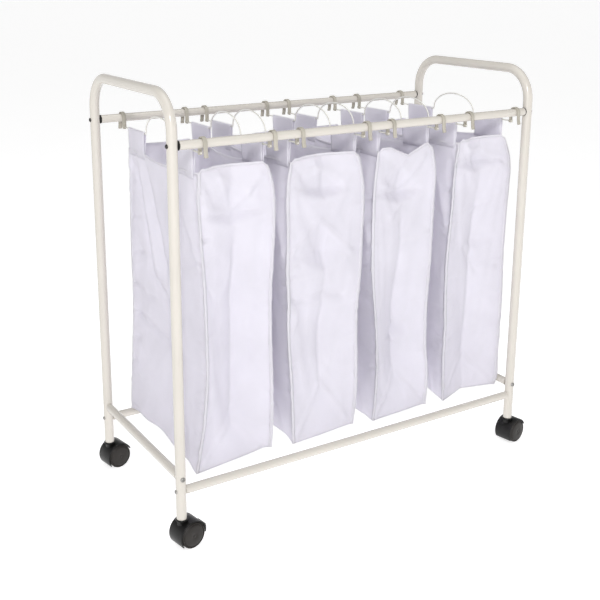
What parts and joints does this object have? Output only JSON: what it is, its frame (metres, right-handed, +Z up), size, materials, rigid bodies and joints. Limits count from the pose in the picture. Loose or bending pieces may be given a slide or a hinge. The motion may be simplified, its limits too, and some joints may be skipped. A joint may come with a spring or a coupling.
{
  "type": "laundry sorter",
  "caption": "Wheeled laundry sorter: a tube-steel cart on casters, with open fabric bags that hang side by side from wire hangers hooked over its rods.",
  "frame": {"origin": "middle of the bottom of the part's box, at floor level", "axes": "+X along the cart, from left to right as seen from the front; +Y from the front to the back; +Z up"},
  "size_m": [0.8736, 0.3976, 0.8382],
  "materials": {
    "frame_paint": "smooth glossy off-white enamel on steel tube",
    "wire_paint": "off-white coated steel wire",
    "screw_steel": "zinc-plated cross-head screw",
    "bag_fabric": "cool white plain-weave polyester",
    "hook_plastic": "grey-beige moulded plastic",
    "caster_plastic": "black moulded nylon, satin",
    "wheel_plastic": "black moulded nylon, fine texture"
  },
  "bodies": {
    "frame": {"end_frame_left": "frame_paint", "crossbar_left": "frame_paint", "end_frame_right": "frame_paint", "crossbar_right": "frame_paint", "upper_rod_front": "frame_paint", "upper_rod_rear": "frame_paint", "lower_rod_front": "frame_paint", "lower_rod_rear": "frame_paint", "crossbar_screw_front_left": "screw_steel", "crossbar_screw_rear_left": "screw_steel", "crossbar_screw_front_right": "screw_steel", "crossbar_screw_rear_right": "screw_steel"},
    "caster_front_left": {"caster_front_left_housing": "caster_plastic"},
    "caster_front_left_wheel_front": {"caster_front_left_wheel_front": "wheel_plastic"},
    "caster_front_left_wheel_rear": {"caster_front_left_wheel_rear": "wheel_plastic"},
    "caster_front_left_brake_lever": {"caster_front_left_brake_lever": "caster_plastic"},
    "caster_rear_left": {"caster_rear_left_housing": "caster_plastic"},
    "caster_rear_left_wheel_front": {"caster_rear_left_wheel_front": "wheel_plastic"},
    "caster_rear_left_wheel_rear": {"caster_rear_left_wheel_rear": "wheel_plastic"},
    "caster_front_right": {"caster_front_right_housing": "caster_plastic"},
    "caster_front_right_wheel_front": {"caster_front_right_wheel_front": "wheel_plastic"},
    "caster_front_right_wheel_rear": {"caster_front_right_wheel_rear": "wheel_plastic"},
    "caster_rear_right": {"caster_rear_right_housing": "caster_plastic"},
    "caster_rear_right_wheel_front": {"caster_rear_right_wheel_front": "wheel_plastic"},
    "caster_rear_right_wheel_rear": {"caster_rear_right_wheel_rear": "wheel_plastic"},
    "caster_rear_right_brake_lever": {"caster_rear_right_brake_lever": "caster_plastic"},
    "bag_1": {"bag_1_shell": "bag_fabric", "bag_1_wire_left": "wire_paint", "bag_1_hook_front_left": "hook_plastic", "bag_1_hook_rear_left": "hook_plastic"},
    "bag_1_right_hanger": {"bag_1_right_band": "bag_fabric", "bag_1_wire_right": "wire_paint", "bag_1_hook_front_right": "hook_plastic", "bag_1_hook_rear_right": "hook_plastic"},
    "bag_2": {"bag_2_shell": "bag_fabric", "bag_2_wire_left": "wire_paint", "bag_2_hook_front_left": "hook_plastic", "bag_2_hook_rear_left": "hook_plastic"},
    "bag_2_right_hanger": {"bag_2_right_band": "bag_fabric", "bag_2_wire_right": "wire_paint", "bag_2_hook_front_right": "hook_plastic", "bag_2_hook_rear_right": "hook_plastic"},
    "bag_3": {"bag_3_shell": "bag_fabric", "bag_3_wire_left": "wire_paint", "bag_3_hook_front_left": "hook_plastic", "bag_3_hook_rear_left": "hook_plastic"},
    "bag_3_right_hanger": {"bag_3_right_band": "bag_fabric", "bag_3_wire_right": "wire_paint", "bag_3_hook_front_right": "hook_plastic", "bag_3_hook_rear_right": "hook_plastic"},
    "bag_4": {"bag_4_shell": "bag_fabric", "bag_4_wire_left": "wire_paint", "bag_4_hook_front_left": "hook_plastic", "bag_4_hook_rear_left": "hook_plastic"},
    "bag_4_right_hanger": {"bag_4_right_band": "bag_fabric", "bag_4_wire_right": "wire_paint", "bag_4_hook_front_right": "hook_plastic", "bag_4_hook_rear_right": "hook_plastic"}
  },
  "joints": [
    {"name": "caster_front_left_swivel", "type": "hinge", "parent": "frame", "child": "caster_front_left", "pos_m": [-0.41809, -0.17703, 0.058], "axis": [0, 0, 1], "continuous": true},
    {"name": "caster_front_left_wheel_front_spin", "type": "hinge", "parent": "caster_front_left", "child": "caster_front_left_wheel_front", "pos_m": [-0.40529, -0.17477, 0.025], "axis": [-0.1736, 0.9848, 0], "continuous": true},
    {"name": "caster_front_left_wheel_rear_spin", "type": "hinge", "parent": "caster_front_left", "child": "caster_front_left_wheel_rear", "pos_m": [-0.40529, -0.17477, 0.025], "axis": [-0.1736, 0.9848, 0], "continuous": true},
    {"name": "caster_front_left_brake", "type": "hinge", "parent": "caster_front_left", "child": "caster_front_left_brake_lever", "pos_m": [-0.38756, -0.17165, 0.031], "axis": [-0.1736, 0.9848, 0], "range_deg": [0, 15]},
    {"name": "caster_rear_left_swivel", "type": "hinge", "parent": "frame", "child": "caster_rear_left", "pos_m": [-0.41809, 0.17297, 0.058], "axis": [0, 0, 1], "continuous": true},
    {"name": "caster_rear_left_wheel_front_spin", "type": "hinge", "parent": "caster_rear_left", "child": "caster_rear_left_wheel_front", "pos_m": [-0.40529, 0.17523, 0.025], "axis": [-0.1736, 0.9848, 0], "continuous": true},
    {"name": "caster_rear_left_wheel_rear_spin", "type": "hinge", "parent": "caster_rear_left", "child": "caster_rear_left_wheel_rear", "pos_m": [-0.40529, 0.17523, 0.025], "axis": [-0.1736, 0.9848, 0], "continuous": true},
    {"name": "caster_front_right_swivel", "type": "hinge", "parent": "frame", "child": "caster_front_right", "pos_m": [0.38841, -0.17703, 0.058], "axis": [0, 0, 1], "continuous": true},
    {"name": "caster_front_right_wheel_front_spin", "type": "hinge", "parent": "caster_front_right", "child": "caster_front_right_wheel_front", "pos_m": [0.40121, -0.17477, 0.025], "axis": [-0.1736, 0.9848, 0], "continuous": true},
    {"name": "caster_front_right_wheel_rear_spin", "type": "hinge", "parent": "caster_front_right", "child": "caster_front_right_wheel_rear", "pos_m": [0.40121, -0.17477, 0.025], "axis": [-0.1736, 0.9848, 0], "continuous": true},
    {"name": "caster_rear_right_swivel", "type": "hinge", "parent": "frame", "child": "caster_rear_right", "pos_m": [0.38841, 0.17297, 0.058], "axis": [0, 0, 1], "continuous": true},
    {"name": "caster_rear_right_wheel_front_spin", "type": "hinge", "parent": "caster_rear_right", "child": "caster_rear_right_wheel_front", "pos_m": [0.40121, 0.17523, 0.025], "axis": [-0.1736, 0.9848, 0], "continuous": true},
    {"name": "caster_rear_right_wheel_rear_spin", "type": "hinge", "parent": "caster_rear_right", "child": "caster_rear_right_wheel_rear", "pos_m": [0.40121, 0.17523, 0.025], "axis": [-0.1736, 0.9848, 0], "continuous": true},
    {"name": "caster_rear_right_brake", "type": "hinge", "parent": "caster_rear_right", "child": "caster_rear_right_brake_lever", "pos_m": [0.41894, 0.17835, 0.031], "axis": [-0.1736, 0.9848, 0], "range_deg": [0, 15]},
    {"name": "bag_1_lift_off", "type": "slide", "parent": "frame", "child": "bag_1", "axis": [0, 0, 1], "range_m": [0, 0.72]},
    {"name": "bag_1_mouth", "type": "slide", "parent": "bag_1", "child": "bag_1_right_hanger", "axis": [1, 0, 0], "range_m": [-0.06, 0.008]},
    {"name": "bag_2_lift_off", "type": "slide", "parent": "frame", "child": "bag_2", "axis": [0, 0, 1], "range_m": [0, 0.72]},
    {"name": "bag_2_mouth", "type": "slide", "parent": "bag_2", "child": "bag_2_right_hanger", "axis": [1, 0, 0], "range_m": [-0.06, 0.008]},
    {"name": "bag_3_lift_off", "type": "slide", "parent": "frame", "child": "bag_3", "axis": [0, 0, 1], "range_m": [0, 0.72]},
    {"name": "bag_3_mouth", "type": "slide", "parent": "bag_3", "child": "bag_3_right_hanger", "axis": [1, 0, 0], "range_m": [-0.06, 0.008]},
    {"name": "bag_4_lift_off", "type": "slide", "parent": "frame", "child": "bag_4", "axis": [0, 0, 1], "range_m": [0, 0.72]},
    {"name": "bag_4_mouth", "type": "slide", "parent": "bag_4", "child": "bag_4_right_hanger", "axis": [1, 0, 0], "range_m": [-0.06, 0.008]}
  ]
}
